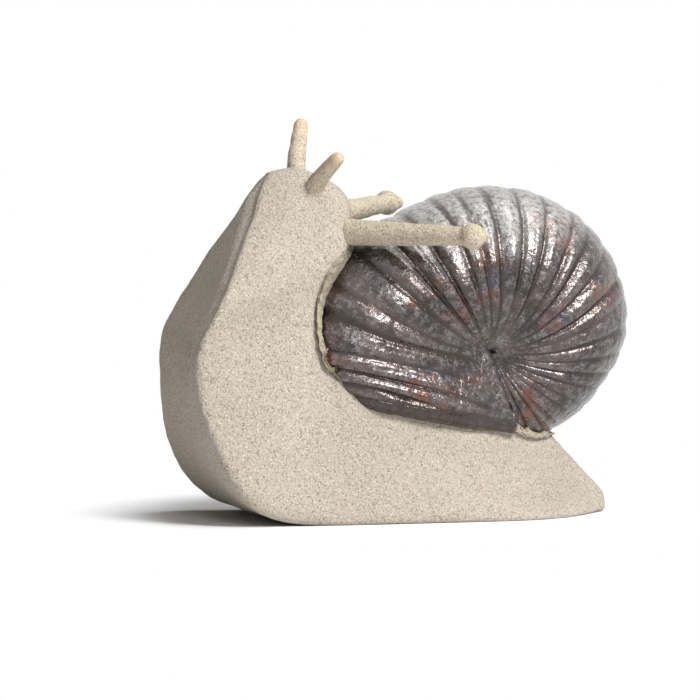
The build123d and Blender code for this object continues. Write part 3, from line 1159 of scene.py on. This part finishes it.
@dataclass
class RolledParts:
    """Eye stalks, eye balls and feelers: rolls and balls of clay, smoothed on to the head."""

    voxel: float = 0.00016
    smoothing: int = 12
    # the root swells a little and sinks into the head
    root_reach: float = 0.0024
    root_height: float = 0.00012
    root_height_power: float = 2.0
    root_sink: float = 0.00140
    root_sink_power: float = 1.5
    lump_grain: float = 0.0016
    lump_height: float = 0.00008
    lump_seed: int = 30

    def build(
        self, nodes: Sequence[str], name: str, finish: Finish, carrier: BVHTree
    ) -> Piece:
        """Makes a roll, and the ball on its end where it has one, from their CAD nodes.

        Args:
            nodes: The CAD nodes.
            name: The new piece's name.
            finish: The clay.
            carrier: The surface that it grows out of.

        Returns:
            The new piece.
        """
        piece = clay_copy(nodes, name, self.voxel, self.smoothing)
        points, normals = points_of(piece), normals_of(piece)
        near, facing = nearness(points, carrier, self.root_reach)
        height = self.lump_height * lumps(points, self.lump_grain, self.lump_seed)
        height += self.root_height * near**self.root_height_power
        sink = self.root_sink * near**self.root_sink_power
        points = points - facing * sink[:, None]
        move_points(piece, points + normals * height[:, None])
        settled(piece, nodes, finish)
        return piece


# Studio


@dataclass(frozen=True)
class Lamp:
    """A square soft light that faces the snail."""

    name: str
    place: Place
    size: float
    power: float


@dataclass
class Studio:
    """Pale floor, soft light from above and the right, and the camera."""

    target: Place = (-0.00604, 0.00118, 0.02003)
    azimuth: float = -16.5
    elevation: float = 3.5
    distance: float = 0.70
    pixels_per_metre: float = 8270.0
    frame_pixels: int = 700
    sensor: float = 36.0
    clip_span: Pair = (0.01, 20.0)
    floor_size: float = 6.0
    floor_colour: Colour = (0.95, 0.95, 0.95)
    floor_roughness: float = 0.9
    floor_specular: float = 0.1
    # how far from the snail's middle the floor turns as white as the background
    paper_ramp: Ramp = Ramp(0.026, 0.042)
    world_light: float = 0.06
    lamps: tuple[Lamp, ...] = (
        Lamp("key_light", (0.33, -0.62, 0.62), 0.30, 9.3),
        Lamp("front_light", (-0.16, -0.72, 0.52), 0.16, 0.9),
        Lamp("top_light", (0.16, -0.05, 0.80), 0.30, 2.2),
    )

    def camera(self) -> bpy.types.Object:
        """Makes the camera and picks it for the scene.

        Returns:
            The camera.
        """
        turn, rise = math.radians(self.azimuth), math.radians(self.elevation)
        level = math.cos(rise)
        ahead = Vector((-math.sin(turn) * level, math.cos(turn) * level, -math.sin(rise)))
        data = bpy.data.cameras.new("camera")
        data.sensor_width = self.sensor
        data.lens = self.pixels_per_metre * self.distance * self.sensor / self.frame_pixels
        data.clip_start, data.clip_end = self.clip_span
        camera = linked("camera", data)
        camera.location = Vector(self.target) - ahead * self.distance
        camera.rotation_euler = ahead.to_track_quat("-Z", "Y").to_euler()
        bpy.context.scene.camera = camera
        return camera

    def light(self, lamp: Lamp) -> None:
        """Adds a lamp.

        Args:
            lamp: The lamp.
        """
        data = bpy.data.lights.new(lamp.name, "AREA")
        data.size = lamp.size
        data.energy = lamp.power
        light = linked(lamp.name, data)
        light.location = lamp.place
        ahead = Vector(self.target) - Vector(lamp.place)
        light.rotation_euler = ahead.to_track_quat("-Z", "Y").to_euler()

    def seen_white(self, tree: bpy.types.NodeTree) -> Socket:
        """Picks out rays that show the white background: from the camera, a gloss or a glass.

        Args:
            tree: The nodes that it is added to.

        Returns:
            1 for those rays and 0 for others.
        """
        path = tree.nodes.new("ShaderNodeLightPath")
        seen = path.outputs["Is Camera Ray"]
        for kind in ("Is Glossy Ray", "Is Transmission Ray"):
            either = tree.nodes.new("ShaderNodeMath")
            either.operation = "MAXIMUM"
            tree.links.new(seen, either.inputs[0])
            tree.links.new(path.outputs[kind], either.inputs[1])
            seen = either.outputs[0]
        return seen

    def world(self) -> None:
        """Makes the surroundings: white to look at, and dim as a light."""
        world = bpy.data.worlds.new("surroundings")
        bpy.context.scene.world = world
        world.use_nodes = True
        tree = world.node_tree
        strength = tree.nodes.new("ShaderNodeMix")
        tree.links.new(self.seen_white(tree), strength.inputs["Factor"])
        strength.inputs["A"].default_value = self.world_light
        strength.inputs["B"].default_value = 1.0
        sky = tree.nodes["Background"]
        sky.inputs["Color"].default_value = (*WHITE, 1.0)
        tree.links.new(strength.outputs["Result"], sky.inputs["Strength"])

    def floor(self) -> bpy.types.Object:
        """Makes the floor that the snail stands on.

        Returns:
            The floor.
        """
        half = self.floor_size / 2
        corners = [(-half, -half, 0), (half, -half, 0), (half, half, 0), (-half, half, 0)]
        mesh = bpy.data.meshes.new("floor")
        mesh.from_pydata(corners, [], [(0, 1, 2, 3)])
        floor = linked("floor", mesh)
        nodes = Nodes("floor_paper")
        values = {"Base Color": self.floor_colour, "Roughness": self.floor_roughness}
        mesh.materials.append(nodes.dress(values | {"Specular IOR Level": self.floor_specular}))
        away = nodes.add("VectorMath", {0: nodes.place}, operation="LENGTH").outputs["Value"]
        away = nodes.ramp(away, self.paper_ramp)
        white = nodes.result("MULTIPLY", away, self.seen_white(nodes.tree))
        glow = nodes.add("Emission", {"Color": WHITE, "Strength": 1.0}).outputs[0]
        paper = nodes.add("MixShader", {0: white, 1: nodes.shader.outputs[0], 2: glow})
        nodes.put(nodes.tree.nodes["Material Output"].inputs["Surface"], paper.outputs[0])
        return floor

    def build(self) -> None:
        """Sets up everything that isn't the snail."""
        self.world()
        self.floor()
        for lamp in self.lamps:
            self.light(lamp)
        self.camera()
        bpy.context.scene.view_settings.view_transform = "Standard"


def report(piece: Piece) -> None:
    """Logs that a piece is made."""
    LOG.info("%s: %d points", piece.name, len(piece.data.vertices))


def main() -> None:
    """Builds every piece of the snail in order, then the studio."""
    logging.basicConfig(level=logging.INFO, format="%(name)s: %(message)s")
    shell = Shell().build(FiredGlaze("fired_glaze").build())
    report(shell)
    body = Body().build(SandyClay("sandy_clay").build(), shell)
    report(body)
    report(SeamBead().build(RunSlip("run_slip").build()))
    rolls, head = RolledParts(), surface_of(body)
    stalk_clay = SandyClay("rolled_sandy_clay", clay=ROLLED_CLAY).build()
    for side in Side:
        stalk, ball = side.word + "_eye_stalk", side.word + "_eye_ball"
        report(rolls.build([stalk, ball], stalk + "_clay", stalk_clay, head))
        feeler = side.word + "_feeler"
        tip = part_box(feeler)[1].z
        clay = SandyClay(feeler + "_sandy_clay", clay=ROLLED_CLAY, tip_height=tip).build()
        report(rolls.build([feeler], feeler + "_clay", clay, head))
    Studio().build()


if __name__ == "__main__":
    main()
